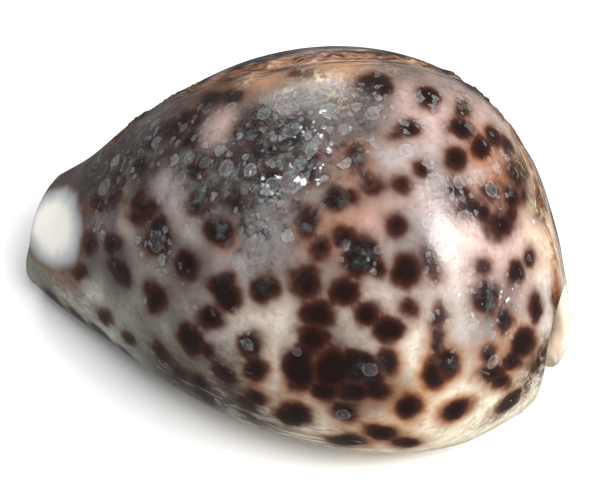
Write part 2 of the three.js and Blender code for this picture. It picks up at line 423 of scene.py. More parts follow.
def mark_distance(right, down, half_width, half_height, turn=0):
    """How far outside an oval mark each vertex is, in mm, below 0 inside it."""
    k = anchor(right, down)
    centre = outside[k]
    first, second = tangents(normals[k])
    base = in_picture(centre)
    steps = [in_picture(centre + PROBE * way) - base for way in (first, second)]
    jacobian = np.stack(steps, axis=1) / PROBE
    c, s = math.cos(math.radians(turn)), math.sin(math.radians(turn))
    oval = np.array([[c, s], [-s, c]])
    oval = np.diag([1 / half_width, 1 / half_height]) @ oval @ jacobian
    _, stretch, right_axes = np.linalg.svd(oval)
    shortest = 1 / stretch.max()
    stretch = np.maximum(stretch, stretch.max() / MOST_DRAWN_OUT)
    oval = np.diag(stretch) @ right_axes
    offsets = outside - centre
    flat_way = np.stack([offsets @ first, offsets @ second], axis=1)
    size = np.linalg.norm(flat_way @ oval.T, axis=1)
    away = (size - 1) * shortest
    away[away_from(centre) > MARK_REACH * (shortest + 1)] = BEYOND
    return away, centre


# Dark spots as they show in the picture: right, down, half width, half height, and for some
# their turn in degrees
DARK_SPOTS = [
    (101, 204, 8, 8), (116, 198, 10, 9), (143, 205, 13, 12), (157, 241, 12, 13),
    (120, 270, 7, 15, -35), (79, 269, 11, 7, 10), (105, 316, 9, 6, 15), (129, 340, 5, 5),
    (156, 300, 10, 12), (159, 352, 5, 11, -35), (187, 264, 14, 14), (191, 338, 11, 16, -30),
    (197, 203, 10, 9), (219, 230, 13, 13), (219, 287, 13, 11), (228, 297, 14, 12),
    (209, 315, 12, 12), (265, 292, 12, 12), (250, 348, 12, 12), (258, 367, 12, 12),
    (199, 381, 5, 10, -50), (256, 396, 11, 6, 15), (294, 415, 18, 11, 8), (306, 280, 14, 15),
    (308, 227, 10, 15), (320, 249, 12, 12), (338, 200, 11, 10), (320, 315, 15, 13),
    (313, 337, 14, 14), (299, 368, 17, 22), (330, 368, 20, 20), (358, 366, 20, 16),
    (374, 378, 11, 13), (346, 412, 12, 10), (350, 441, 17, 5), (382, 434, 16, 7),
    (409, 443, 11, 4), (410, 406, 11, 11), (458, 411, 15, 8, -25), (361, 254, 20, 20),
    (345, 289, 15, 14), (368, 312, 10, 10), (407, 309, 9, 9), (390, 329, 12, 12),
    (408, 269, 16, 17), (397, 227, 11, 11), (374, 184, 11, 7), (400, 186, 8, 7),
    (357, 162, 9, 12), (447, 362, 11, 15), (493, 374, 12, 9), (507, 403, 14, 4, -42),
    (523, 344, 11, 16, 25), (537, 362, 3, 14, 25), (539, 309, 6, 13, 5), (488, 295, 12, 16),
    (517, 272, 7, 11), (531, 256, 5, 8), (484, 267, 7, 7), (502, 226, 13, 13), (472, 207, 13, 9),
    (511, 198, 9, 11), (518, 172, 9, 15), (509, 148, 4, 11, -25), (540, 205, 4, 13, -5),
    (557, 295, 3, 13), (512, 361, 10, 8), (373, 84, 19, 11), (429, 96, 12, 9), (464, 110, 8, 8),
    (461, 129, 11, 9), (455, 155, 9, 11), (483, 148, 7, 10), (495, 138, 6, 11, -25),
    (421, 168, 6, 6), (408, 130, 10, 7), (395, 136, 7, 5), (188, 120, 14, 8, -20),
    (170, 128, 14, 9, -30), (211, 99, 12, 7, -10), (261, 117, 12, 12), (253, 134, 13, 11),
    (265, 151, 11, 10), (140, 163, 9, 9), (183, 137, 10, 8), (232, 97, 14, 6, -5),
    (290, 132, 14, 14), (272, 178, 10, 9), (197, 170, 9, 8), (200, 193, 8, 6), (137, 214, 10, 9),
    (160, 228, 9, 8), (88, 243, 8, 10), (113, 245, 7, 9, -20), (296, 95, 12, 7),
    (308, 170, 10, 12), (366, 178, 6, 5), (352, 195, 7, 6), (150, 141, 8, 7), (120, 180, 7, 8),
    (325, 390, 15, 10), (352, 392, 18, 10), (390, 362, 9, 13), (432, 378, 9, 9),
    (440, 340, 6, 12), (180, 375, 8, 5, 40), (150, 290, 7, 7), (235, 205, 8, 7),
    (342, 240, 12, 11), (378, 268, 9, 9), (222, 371, 12, 5, 35), (206, 352, 8, 5, 40),
    (243, 400, 9, 3, 35), (205, 398, 12, 3, 35), (487, 355, 8, 9), (500, 380, 9, 7),
    (462, 193, 7, 5, 20), (485, 213, 8, 7, 30), (511, 214, 6, 8), (521, 196, 5, 8),
    (506, 322, 6, 8), (428, 262, 7, 13, -15), (437, 318, 5, 12), (433, 372, 7, 9),
    (375, 392, 14, 9), (72, 263, 8, 5), (298, 75, 7, 3), (453, 193, 6, 5, 20), (489, 190, 8, 8),
]

# Spots on the sides that the picture doesn't show
HIDDEN_SPOTS = 190
HIDDEN_SPACING = 5.6
HIDDEN_SMALLEST = 1.0
HIDDEN_LARGEST = 2.9
UNEVEN_SPACING = (0.75, 1.35)
SEED = 7

# Where they may lie: not underneath, not on the tips, out of sight, and clear of the others
UNDER_HEIGHT = 9
UNDER_FACING = -0.35
TIPS_FROM = 41
OUT_OF_SIGHT = 0.12
CLEAR_OF_OTHERS = 2.5


def spot_field():
    """Distance to the nearest dark spot's edge, in mm, below 0 inside a spot."""
    field = np.full(len(outside), BEYOND)
    centres = []
    for mark in DARK_SPOTS:
        away, centre = mark_distance(*mark)
        field = np.minimum(field, away)
        centres.append(centre)
    random = np.random.default_rng(SEED)
    beneath = (outside[:, 2] < UNDER_HEIGHT) & (normals[:, 2] < UNDER_FACING)
    free = true_outside & ~beneath & (np.abs(outside[:, 0]) < TIPS_FROM)
    free = np.flatnonzero(free & (facing < OUT_OF_SIGHT) & (field > CLEAR_OF_OTHERS))
    taken = np.array(centres)
    made = 0
    for k in random.permutation(free):
        if made == HIDDEN_SPOTS:
            break
        spacing = HIDDEN_SPACING * random.uniform(*UNEVEN_SPACING)
        if np.linalg.norm(taken - outside[k], axis=1).min() < spacing:
            continue
        taken = np.vstack([taken, outside[k]])
        made += 1
        size = random.uniform(HIDDEN_SMALLEST, HIDDEN_LARGEST)
        away = away_from(outside[k]) - size
        field = np.minimum(field, np.where(away < SPOT_REACH, away, BEYOND))
    return field


# The colours under the spots: mostly the enamel's own, some also used for painted shade or
# highlight
SHADES = {
    "cream": "#e4d8c6", "bone": "#ddd5ce", "sage": "#85867a", "smoke": "#5b514e",
    "umber": "#3a2d2a", "taupe": "#8b7d78", "rose": "#dcbab2", "dusk": "#a98880",
    "apricot": "#d8ab80", "tan": "#9a8077", "salmon": "#b98a76", "rust": "#80502f",
    "ash": "#8f8c8b", "mist": "#beb1ad", "fawn": "#c0b2a4", "olive": "#5a5040",
    "ivory": "#f0e4cb", "peach": "#e4c8ab", "moss": "#989a8c", "celadon": "#bcbfb0",
    "clay": "#bf8f70", "sand": "#a3948a", "lichen": "#5a5b53",
}

# Where each shade lies: right, down, reach in mm, weight. They blend into each other. The zones
# marked below as painted shade or highlight stand in for light.
GROUND = {
    "sage": [(58, 300, 7, 1), (130, 325, 8, 1), (205, 380, 8, 1)],
    # Of the umber zones, those at (82, 180) and (70, 178) are painted shade in the hollow of the
    # front canal
    "umber": [
        (80, 190, 8, 1), (165, 160, 9, 1), (300, 140, 9, 1), (82, 180, 2, 5), (352, 395, 3, 9),
        (382, 392, 2.5, 12), (290, 160, 3, 6), (315, 150, 2.5, 6), (258, 122, 3, 8),
        (140, 210, 1.5, 6), (200, 185, 2, 6), (150, 150, 3, 6), (225, 165, 3, 5),
        (118, 130, 3, 4), (70, 178, 3, 6), (270, 101, 2.5, 9),
    ],
    # The smoke zone at (410, 248) is painted shade beside the highlight
    "smoke": [
        (100, 240, 5, 1), (235, 180, 8, 1), (350, 160, 6, 1), (336, 345, 2, 8), (342, 262, 2, 9),
        (500, 300, 3, 4), (112, 272, 2.5, 6), (205, 300, 3, 5), (178, 322, 2, 5),
        (505, 165, 2.5, 6), (150, 105, 3, 4), (90, 262, 2, 5), (410, 248, 1.8, 9),
        (407, 71, 2, 10), (350, 131, 2.5, 8), (370, 110, 2.5, 7), (208, 271, 1.5, 8),
        (190, 291, 1.8, 7), (110, 290, 1.8, 6), (150, 330, 2, 6), (232, 352, 1.8, 8),
    ],
    "cream": [(285, 370, 9, 1), (255, 325, 2.5, 9), (275, 400, 3, 3)],
    "sand": [(370, 290, 8, 1), (365, 335, 5, 4), (286, 396, 2, 8)],
    "bone": [(435, 320, 8, 1), (225, 325, 4, 5), (550, 305, 3, 5)],
    "ivory": [(430, 410, 10, 1), (440, 432, 5, 5), (418, 355, 3, 5), (500, 415, 4, 4)],
    "dusk": [(440, 250, 8, 1), (515, 270, 6, 1), (327, 158, 2, 8), (385, 55, 2, 7)],
    # The rose zone at (480, 240) is pale pink ground and partly a painted highlight
    "rose": [
        (425, 125, 9, 1), (220, 128, 1.8, 9), (422, 120, 3, 5), (500, 253, 3, 6),
        (480, 240, 3, 6),
    ],
    "tan": [(475, 335, 6, 1), (62, 268, 2.5, 12), (492, 206, 2, 8), (250, 309, 1.8, 8)],
    "peach": [(548, 250, 5, 2)],
    "fawn": [
        (520, 370, 6, 1), (127, 226, 1.4, 7), (121, 188, 1.2, 6), (548, 340, 3, 4),
        (278, 342, 2, 8),
    ],
    "mist": [
        (180, 204, 1.6, 9), (197, 223, 1.6, 8), (162, 186, 1.5, 8), (388, 150, 2, 8),
        (229, 268, 1.8, 10),
    ],
    "taupe": [
        (143, 252, 2, 4), (240, 248, 3, 4), (285, 245, 4, 3), (100, 150, 4, 3), (345, 52, 1.5, 7),
        (450, 80, 2.5, 12), (450, 186, 2, 7),
    ],
    # The ash zone at (418, 241) is painted shade beside the highlight
    "ash": [(99, 232, 2, 4), (430, 150, 4, 3), (275, 215, 3, 4), (418, 241, 2.5, 9)],
    "clay": [(338, 74, 2.5, 9), (265, 86, 2.5, 8)],
    "rust": [(215, 88, 2, 5), (180, 106, 2, 4), (70, 272, 2, 8)],
    "salmon": [(340, 212, 4, 5), (497, 163, 3, 6)],
    "apricot": [(395, 428, 5, 3)],
    "celadon": [(100, 300, 3, 6), (88, 296, 3, 3), (72, 306, 2, 8), (110, 330, 2, 8)],
    "moss": [(150, 320, 4, 3), (130, 345, 2, 6)],
    "olive": [
        (218, 360, 2.5, 14), (235, 384, 2, 18), (178, 362, 2, 9), (200, 397, 2, 12),
        (172, 379, 2, 14), (150, 362, 2, 4), (250, 416, 2, 5),
    ],
    "lichen": [(335, 91, 2.5, 8)],
}

# The same for the sides that the picture doesn't show: the place in mm, and the reach
HIDDEN_GROUND = {
    "ash": [(-36, 8, 10, 6)],
    "mist": [(-25, 18, 18, 8), (12, 24, 34, 8)],
    "cream": [(-8, 27, 12, 8), (12, 30, 14, 9), (0, -27, 4, 6)],
    "fawn": [(-10, 22, 30, 8), (32, 15, 28, 7)],
    "ivory": [(30, 22, 12, 7)],
    "dusk": [(0, 12, 46, 6), (20, 12, 44, 6)],
    "moss": [(-38, -4, 6, 4)],
    "taupe": [(-18, 6, 38, 6)],
}

# What a zone still weighs far away, so that every place has a colour
FAR_WEIGHT = 1e-4


def to_linear(hex_colour):
    """An sRGB hex colour as linear red, green, blue and 1."""
    parts = [int(hex_colour[i : i + 2], 16) / 255 for i in (1, 3, 5)]
    parts = [c / 12.92 if c <= 0.04045 else ((c + 0.055) / 1.055) ** 2.4 for c in parts]
    return (*parts, 1.0)


def ground_colour():
    """The ground's colour at each vertex, blended from the zones around it."""
    total = np.zeros(len(outside))
    colour = np.zeros((len(outside), 4))
    zones = []
    for shade, places_of_it in GROUND.items():
        zones += [(outside[anchor(*place[:2])], *place[2:], shade) for place in places_of_it]
    for shade, places_of_it in HIDDEN_GROUND.items():
        zones += [(place[:3], place[3], 1, shade) for place in places_of_it]
    for where, reach, most, shade in zones:
        share = away_from(where) / reach
        weight = most * np.exp(-(share**2) / 2) + FAR_WEIGHT / (1 + share**4)
        total += weight
        colour += weight[:, None] * np.array(to_linear(SHADES[shade]))
    return colour / total[:, None]


# How fast the back line's colours fade on its two sides, and farther off than they and the knocks
# reach, in mm
NEAR_SIDE = 1.6
FAR_SIDE = 0.7
FARTHEST = 50.0

# The line along the back where the two sides of the enamel met, as the picture shows it
BACK_LINE = [
    (118, 137), (140, 115), (165, 100), (200, 86), (235, 74), (270, 66), (310, 60), (355, 57),
    (400, 59), (440, 70), (470, 86), (500, 114), (528, 165), (545, 220), (553, 290),
]


def line_field():
    """Distance from the back line in mm, drawn out on its far side, and the way along it."""
    points = np.array([outside[anchor(*p)] for p in BACK_LINE])
    point_normals = np.array([normals[anchor(*p)] for p in BACK_LINE])
    off = np.full(len(outside), FARTHEST)
    along = np.zeros(len(outside))
    run = 0.0
    for a, b, normal in zip(points[:-1], points[1:], point_normals):
        length = np.linalg.norm(b - a)
        way = (b - a) / length
        share = np.clip((outside - a) @ way, 0, length)
        offsets = outside - (a + share[:, None] * way)
        beyond = offsets @ np.cross(normal, way) > 0
        away = np.linalg.norm(offsets, axis=1) * np.where(beyond, FAR_SIDE, NEAR_SIDE)
        nearer = away < off
        off = np.where(nearer, away, off)
        along = np.where(nearer, run + share, along)
        run += length
    return off, along


# Soft patches, as they show in the picture: right, down, reach in mm, strength in the middle
PATCHES = {
    # Grey, half clear places where the enamel over the colours is thick or scuffed
    "cloud": [
        (180, 165, 6, 0.5), (230, 165, 6, 0.55), (265, 175, 6, 0.7), (270, 215, 5, 0.7),
        (290, 184, 4, 0.8), (247, 243, 3, 0.4), (100, 165, 4, 0.4), (132, 140, 4, 0.5),
        (172, 115, 3, 0.4), (330, 120, 5, 0.65), (290, 130, 4, 0.6), (350, 150, 4, 0.5),
        (490, 320, 3, 0.5), (210, 205, 5, 0.35), (155, 241, 2, 0.5), (258, 270, 1.5, 0.5),
        (363, 255, 1.5, 0.5), (115, 262, 3, 0.4), (95, 215, 4, 0.5), (130, 160, 5, 0.5),
        (356, 116, 3, 0.4), (257, 250, 2.5, 0.4), (250, 340, 1.5, 0.4), (460, 340, 4, 0.3),
        (505, 300, 3, 0.35), (372, 368, 2, 0.3), (345, 411, 1.5, 0.35),
    ],
    # Cream crumbs of a flaky crust
    "crumb": [
        (320, 79, 1.6, 0.85), (338, 76, 1.0, 0.4), (302, 70, 1.2, 0.4), (340, 100, 2.0, 0.4),
        (288, 92, 1.2, 0.5), (247, 82, 1.2, 0.6), (536, 205, 1.2, 0.9), (543, 218, 1.2, 0.8),
        (465, 97, 2.0, 0.3), (500, 118, 1.6, 0.4), (520, 165, 1.5, 0.5), (395, 72, 1.5, 0.3),
    ],
    # Dark and pale wisps that run along the margins
    "wisp": [
        (185, 382, 3, 0.9), (215, 400, 3, 0.9), (245, 412, 3, 0.8), (165, 362, 2.5, 0.6),
        (145, 348, 2, 0.4), (532, 378, 2.5, 0.9), (512, 402, 2.5, 0.8), (546, 352, 2, 0.8),
        (280, 428, 3, 0.6), (320, 440, 3, 0.5), (228, 372, 3, 0.6), (60, 290, 2.5, 0.5),
        (85, 305, 2.5, 0.4), (100, 175, 3, 0.5), (350, 444, 3, 0.4), (130, 135, 3, 0.5),
        (170, 105, 3, 0.6), (480, 425, 3, 0.3), (540, 190, 2.5, 0.6), (525, 150, 2.5, 0.5),
    ],
    # Where the spots have orange-brown edges
    "warm_edge": [
        (440, 375, 4, 0.9), (458, 411, 4, 0.9), (410, 405, 3, 0.7), (420, 360, 3, 0.8),
        (520, 350, 4, 0.7), (300, 395, 4, 0.5), (265, 380, 3, 0.5), (320, 235, 3, 0.5),
        (490, 340, 4, 0.5), (360, 150, 3, 0.6), (225, 245, 2, 0.5), (490, 160, 4, 0.7),
        (90, 215, 3, 0.5), (385, 435, 5, 0.6), (505, 395, 3, 0.7),
    ],
    # Where bright specks are painted as glints, standing in for light caught on tiny chips
    "painted_glint": [
        (304, 158, 2.4, 1.0), (320, 128, 1.8, 0.9), (312, 172, 1.4, 0.8), (276, 180, 1.6, 0.5),
        (512, 292, 2.0, 0.6), (252, 168, 0.8, 0.7), (535, 225, 1.5, 0.6), (500, 312, 1.5, 0.5),
        (350, 112, 2.0, 0.25), (470, 300, 2.0, 0.2),
    ],
    # Where small knocks and specks lie close together
    "scuff": [
        (285, 150, 5, 0.8), (255, 178, 4, 0.7), (305, 122, 4, 0.5), (268, 214, 3, 0.8),
        (225, 150, 4, 0.5), (180, 160, 5, 0.6), (335, 112, 3, 0.45), (345, 140, 4, 0.5),
        (400, 140, 4, 0.45), (445, 182, 3, 0.7), (490, 190, 3, 0.7), (505, 295, 4, 0.7),
        (455, 335, 3, 0.5), (500, 350, 3, 0.6), (130, 165, 4, 0.5), (100, 215, 3, 0.6),
        (250, 245, 2, 0.5), (150, 132, 4, 0.5), (112, 160, 3, 0.4), (375, 105, 3, 0.6),
        (420, 100, 3, 0.5), (250, 345, 2, 0.5), (200, 120, 4, 0.5), (540, 220, 3, 0.6),
        (470, 110, 3, 0.4), (150, 245, 2, 0.6), (440, 300, 3, 0.3), (450, 222, 3, 0.9),
        (468, 245, 3, 0.6), (458, 285, 3, 0.6), (361, 255, 2, 0.7), (285, 92, 2, 0.5),
        (440, 108, 3, 0.6), (500, 150, 3, 0.6), (470, 100, 3, 0.5), (140, 300, 3, 0.3),
        (230, 320, 3, 0.25), (330, 75, 3, 0.5), (390, 75, 3, 0.4), (170, 250, 3, 0.4),
        (200, 310, 3, 0.3),
    ],
}

# Whitish knocks in the enamel that show one by one: right, down, reach in mm, strength
KNOCKS = [
    (263, 114, 1.2, 0.8), (285, 111, 1.1, 0.7), (290, 131, 1.4, 0.7), (230, 107, 1.1, 0.9),
    (225, 170, 1.4, 0.9), (184, 128, 0.8, 0.8), (436, 185, 1.9, 1.0), (459, 182, 1.0, 0.8),
    (476, 176, 1.1, 0.9), (490, 190, 1.3, 1.0), (329, 109, 1.3, 1.0), (251, 168, 1.1, 1.0),
    (271, 182, 1.2, 1.0), (292, 184, 1.8, 0.8), (157, 241, 1.7, 0.45), (405, 150, 1.2, 1.0),
    (460, 335, 1.4, 0.6), (495, 362, 1.2, 0.8), (478, 385, 1.3, 0.6), (155, 122, 0.9, 0.9),
    (345, 130, 1.0, 0.8), (312, 152, 1.0, 0.9), (298, 166, 0.9, 0.9), (318, 140, 0.8, 0.8),
    (372, 112, 1.1, 0.7), (104, 188, 1.5, 0.8), (180, 180, 1.2, 0.6), (205, 165, 1.0, 0.6),
    (247, 345, 1.1, 0.5), (343, 413, 1.1, 0.6), (371, 371, 1.2, 0.4), (257, 252, 2.2, 0.55),
    (236, 262, 0.8, 0.7), (452, 300, 2.0, 0.7), (466, 222, 1.8, 0.9), (378, 249, 0.7, 0.4),
    (296, 352, 0.8, 0.5), (189, 160, 1.1, 0.6), (168, 172, 1.0, 0.6),
]

# The worn white place on the front tip, an oval as the dark spots are; a bluish rim of painted
# shade lies round its edge
WORN_TIP_AND_RIM_SHADE = (53, 226, 25, 37, 6)

# How far past its reach a knock can still show, in mm
KNOCK_EDGE = 0.9


def knock_fields():
    """For the nearest knock: its middle, its reach in mm and its strength."""
    nearest = np.full(len(outside), FARTHEST)
    middles = np.full((len(outside), 3), FARTHEST)
    reaches = np.ones(len(outside))
    strengths = np.zeros(len(outside))
    for right, down, reach, strength in KNOCKS:
        middle_of_it = outside[anchor(right, down)]
        away = away_from(middle_of_it) - reach
        nearer = away < nearest
        nearest = np.where(nearer, away, nearest)
        middles[nearer] = middle_of_it
        reaches[nearer] = reach
        strengths[nearer] = strength
    strengths[nearest > KNOCK_EDGE] = 0
    return middles, reaches, strengths


def patch_field(kind):
    """How strong one kind of patch is, from 0 to 1."""
    field = np.zeros(len(outside))
    for right, down, reach, amount in PATCHES[kind]:
        away = away_from(outside[anchor(right, down)])
        field = 1 - (1 - field) * (1 - amount * np.exp(-((away / reach) ** 2) / 2))
    return field


# How high the margins' crust is beside the back line's
MARGIN_CRUST = 0.45

# Share of the length at each end over which the crust fades away
CRUST_FREE_END = 0.04

# How far from the back line the crust ends, and from where it is full, in mm
CRUST_EDGE = (3.0, 0.8)

# Shares of the way round the section between which the marks fade into plain enamel
MARKS_FADE = (0.8, 0.74)

# Shares of red, green and blue in how light a colour looks, and what counts as dark and as pale
LIGHT_WEIGHTS = (0.21, 0.72, 0.07)
DARK_TO_PALE = (0.1, 0.42)

# The hollow's own colour
HOLLOW_SHADE = "#e2dacd"

# The mesh: the outside and inside grids, welded along the rim they share
per_side = rows * columns


def grid_faces():
    """Faces of the outside grid, and of the inside grid turned the other way round."""
    index = np.arange(per_side).reshape(rows, columns)
    a = index[:-1, :-1].ravel()
    b = index[1:, :-1].ravel()
    c = index[1:, 1:].ravel()
    d = index[:-1, 1:].ravel()
    cells = np.stack([a, b, c, d], axis=1)
    # Two corner cells of the grid are cut from the rim's own corner, so no face lies on another.
    corner_cells = [columns - 2, (rows - 2) * (columns - 1)]
    halves = np.concatenate([cells[corner_cells][:, [1, 2, 3]], cells[corner_cells][:, [1, 3, 0]]])
    cells = np.delete(cells, corner_cells, axis=0)
    faces = cells.tolist() + halves.tolist()
    faces += (per_side + cells[:, [0, 3, 2, 1]]).tolist() + (per_side + halves[:, ::-1]).tolist()
    return faces


def mark_values(ground, knock_reaches, knock_strengths):
    """For each kind of mark, its values on the outside grid and on the inside grid."""
    off_line, along_line = line_field()
    within = np.zeros(per_side)
    on_outside = smooth(*MARKS_FADE, around_shares).repeat(columns)
    patches = {kind: patch_field(kind) for kind in PATCHES}
    crust = np.maximum(smooth(*CRUST_EDGE, off_line), MARGIN_CRUST * patches["wisp"])
    # The crust is flat at both ends, where the outside and the inside are welded.
    from_ends = smooth(0.0, CRUST_FREE_END, np.minimum(along_shares, 1 - along_shares))
    crust = crust * np.tile(from_ends, rows)
    pale = smooth(*DARK_TO_PALE, ground[:, :3] @ np.array(LIGHT_WEIGHTS))
    sides = {kind: (field, within) for kind, field in patches.items()}
    sides |= {
        "spot": (spot_field(), np.full(per_side, BEYOND)),
        "off_line": (off_line, np.full(per_side, FARTHEST)),
        "along_line": (along_line, within),
        "crust": (crust * on_outside, within),
        "knock_reach": (knock_reaches, np.ones(per_side)),
        "knock_strength": (knock_strengths, within),
        "worn_tip_and_shade": (mark_distance(*WORN_TIP_AND_RIM_SHADE)[0], np.full(per_side, BEYOND)),
        "painted": (on_outside, within),
        "tooth": (teeth[0].ravel(), teeth[1].ravel()),
        "paleness": (pale, within),
    }
    return sides


def placed(name, data):
    """A new object in the scene."""
    made = bpy.data.objects.new(name, data)
    bpy.context.collection.objects.link(made)
    return made


def build_shell():
    """The shell's mesh with its marks, not yet welded."""
    mesh = bpy.data.meshes.new("tiger_cowrie")
    mesh.from_pydata((places.reshape(-1, 3) / MILLIMETRES).tolist(), [], grid_faces())
    ground = ground_colour()
    knock_middles, knock_reaches, knock_strengths = knock_fields()
    sides = mark_values(ground, knock_reaches, knock_strengths)
    for name, (outer, inner) in sides.items():
        values = np.concatenate([outer, inner]).astype(np.float32)
        mesh.attributes.new(name, "FLOAT", "POINT").data.foreach_set("value", values)
    colour = np.concatenate([ground, np.full((per_side, 4), to_linear(HOLLOW_SHADE))])
    painted = mesh.color_attributes.new("ground", "FLOAT_COLOR", "POINT")
    painted.data.foreach_set("color", colour.astype(np.float32).ravel())
    middles = np.concatenate([knock_middles, np.full((per_side, 3), FARTHEST)])
    ways = tooth_ways.reshape(-1, 3) / MILLIMETRES
    for name, values in (("knock_middle", middles), ("tooth_way", ways)):
        field = mesh.attributes.new(name, "FLOAT_VECTOR", "POINT")
        field.data.foreach_set("vector", values.astype(np.float32).ravel())
    mesh.shade_smooth()
    mesh.update()
    return placed("tiger_cowrie", mesh)


# Relief along the back line and the margins: metres from its lowest to its highest place, and
# lumps per metre
CRUST_HEIGHT = 0.0022
CRUST_GRAIN = 420.0

# How close two vertices are, in metres, to become one
WELD_DISTANCE = 2e-6

# Kinds of node that come up again and again, and their settings
MATH = "ShaderNodeMath"
VECTOR_MATH = "ShaderNodeVectorMath"
NOISE = "ShaderNodeTexNoise"
CELLS = "ShaderNodeTexVoronoi"
RANGE = "ShaderNodeMapRange"
BLEND = "ShaderNodeMix"
PARTS = "ShaderNodeSeparateXYZ"
NAMED = "GeometryNodeInputNamedAttribute"
MOVE = "GeometryNodeSetPosition"
PLUS = {"operation": "ADD"}
LESS = {"operation": "SUBTRACT"}
TIMES = {"operation": "MULTIPLY"}
TIMES_PLUS = {"operation": "MULTIPLY_ADD"}
OVER = {"operation": "DIVIDE"}
LARGER = {"operation": "MAXIMUM"}
SCALED = {"operation": "SCALE"}
COLOURS = {"data_type": "RGBA"}


def add(tree, kind, inputs=None, settings=None):
    """Adds a node and gives its outputs. An input is a value or another node's output."""
    made = tree.nodes.new(kind)
    for name, value in (settings or {}).items():
        setattr(made, name, value)
    for name, value in (inputs or {}).items():
        socket = made.inputs[name]
        if isinstance(value, bpy.types.NodeSocket):
            tree.links.new(value, socket)
        else:
            socket.default_value = value
    return made.outputs


def empty_tree(block):
    """The node tree of a material or world, with nothing in it."""
    block.use_nodes = True
    block.node_tree.nodes.clear()
    return block.node_tree


def surface_tree():
    """Raises the teeth and the crust, and grinds off what would sink into the table."""
    tree = bpy.data.node_groups.new("raise_teeth", "GeometryNodeTree")
    face = tree.interface
    face.new_socket("Geometry", in_out="INPUT", socket_type="NodeSocketGeometry")
    for name in ("Tooth height", "Crust height", "Crust grain", "Weld distance"):
        face.new_socket(name, in_out="INPUT", socket_type="NodeSocketFloat")
    face.new_socket("Material", in_out="INPUT", socket_type="NodeSocketMaterial")
    face.new_socket("Geometry", in_out="OUTPUT", socket_type="NodeSocketGeometry")
    given = add(tree, "NodeGroupInput")

    # The teeth rise along their own ways.
    tooth = add(tree, NAMED, {"Name": "tooth"}, {"data_type": "FLOAT"})["Attribute"]
    way = add(tree, NAMED, {"Name": "tooth_way"}, {"data_type": "FLOAT_VECTOR"})["Attribute"]
    rise = add(tree, MATH, {0: tooth, 1: given["Tooth height"]}, TIMES)[0]
    move = add(tree, VECTOR_MATH, {0: way, "Scale": rise}, SCALED)[0]
    surface = add(tree, MOVE, {"Geometry": given["Geometry"], "Offset": move})[0]

    # The crust is lumpy, up and down from the wall.
    crust = add(tree, NAMED, {"Name": "crust"}, {"data_type": "FLOAT"})["Attribute"]
    lumpy = {"Scale": given["Crust grain"], "Detail": 3.0, "Roughness": 0.6}
    lumps = add(tree, NOISE, lumpy)[0]
    lumps = add(tree, MATH, {0: lumps, 1: 0.5}, LESS)[0]
    lumps = add(tree, MATH, {0: lumps, 1: crust}, TIMES)[0]
    lumps = add(tree, MATH, {0: lumps, 1: given["Crust height"]}, TIMES)[0]
    outwards = add(tree, "GeometryNodeInputNormal")[0]
    lift = add(tree, VECTOR_MATH, {0: outwards, "Scale": lumps}, SCALED)[0]
    surface = add(tree, MOVE, {"Geometry": surface, "Offset": lift})[0]

    # Nothing goes below the table.
    where = add(tree, "GeometryNodeInputPosition")[0]
    parts = add(tree, PARTS, {0: where})
    level = add(tree, MATH, {0: parts["Z"], 1: 0.0}, LARGER)[0]
    rested = {"X": parts["X"], "Y": parts["Y"], "Z": level}
    rested = add(tree, "ShaderNodeCombineXYZ", rested)[0]
    surface = add(tree, MOVE, {"Geometry": surface, "Position": rested})[0]

    weld = {"Geometry": surface, "Distance": given["Weld distance"]}
    surface = add(tree, "GeometryNodeMergeByDistance", weld)[0]
    surface = add(tree, "GeometryNodeRealizeInstances", {"Geometry": surface})[0]
    dress = {"Geometry": surface, "Material": given["Material"]}
    surface = add(tree, "GeometryNodeSetMaterial", dress)[0]
    add(tree, "NodeGroupOutput", {"Geometry": surface})
    return tree


def finish_shell(piece, material):
    """Runs the tree on the shell and keeps its result as a plain mesh."""
    tree = surface_tree()
    modifier = piece.modifiers.new("teeth", "NODES")
    modifier.node_group = tree
    values = {
        "Tooth height": TOOTH_HEIGHT,
        "Crust height": CRUST_HEIGHT,
        "Crust grain": CRUST_GRAIN,
        "Weld distance": WELD_DISTANCE,
        "Material": material,
    }
    for item in tree.interface.items_tree:
        if item.in_out == "INPUT" and item.name in values:
            modifier[item.identifier] = values[item.name]
    bpy.context.view_layer.update()
    evaluated = piece.evaluated_get(bpy.context.evaluated_depsgraph_get())
    mesh = bpy.data.meshes.new_from_object(evaluated)
    piece.modifiers.clear()
    piece.data = mesh
    mesh.shade_smooth()
    return piece


# How far apart the features of each pattern are, in millimetres
WANDER = 3.85
FRAY = 1.0
DRIFT = 8.3
FRECKLES = 1.25
CURDS = 2.4
STREAKS = 1.1
CRUMBLING = 1.05
WISPINESS = 0.9
SPECKLE = 0.625
BENDING = 1.4
GLINT_SPACING = 1.05
PITS = 0.45

# How far knocks and painted glints are bent out of round, in mm, and how deep scratches are, in
# metres
BENT_BY = 1.6
SCRATCH_DEPTH = 0.0003

# Crowds of knocks: how far apart in mm, and how strong
CROWDS = ((2.6, 0.95), (1.3, 0.8))

# Where the colour of the lips' ends turns from cream to beige, in mm along the shell
PALE_UNTIL = 34.0
BEIGE_FROM = 41.0

# Streaks along the back line: how drawn out they are, and where the dark ones fade, in mm along it
STREAKS_DRAWN_OUT = (0.16, 1.0, 1.0)
DARK_UNTIL = 66.0
DARK_GONE = 84.0
WISPS_DRAWN_OUT = (0.14, 1.0, 0.8)


def span(value, low, high, at_low, at_high):
    """Inputs that carry a value from the range low to high onto at_low to at_high."""
    return {"Value": value, "From Min": low, "From Max": high, "To Min": at_low, "To Max": at_high}


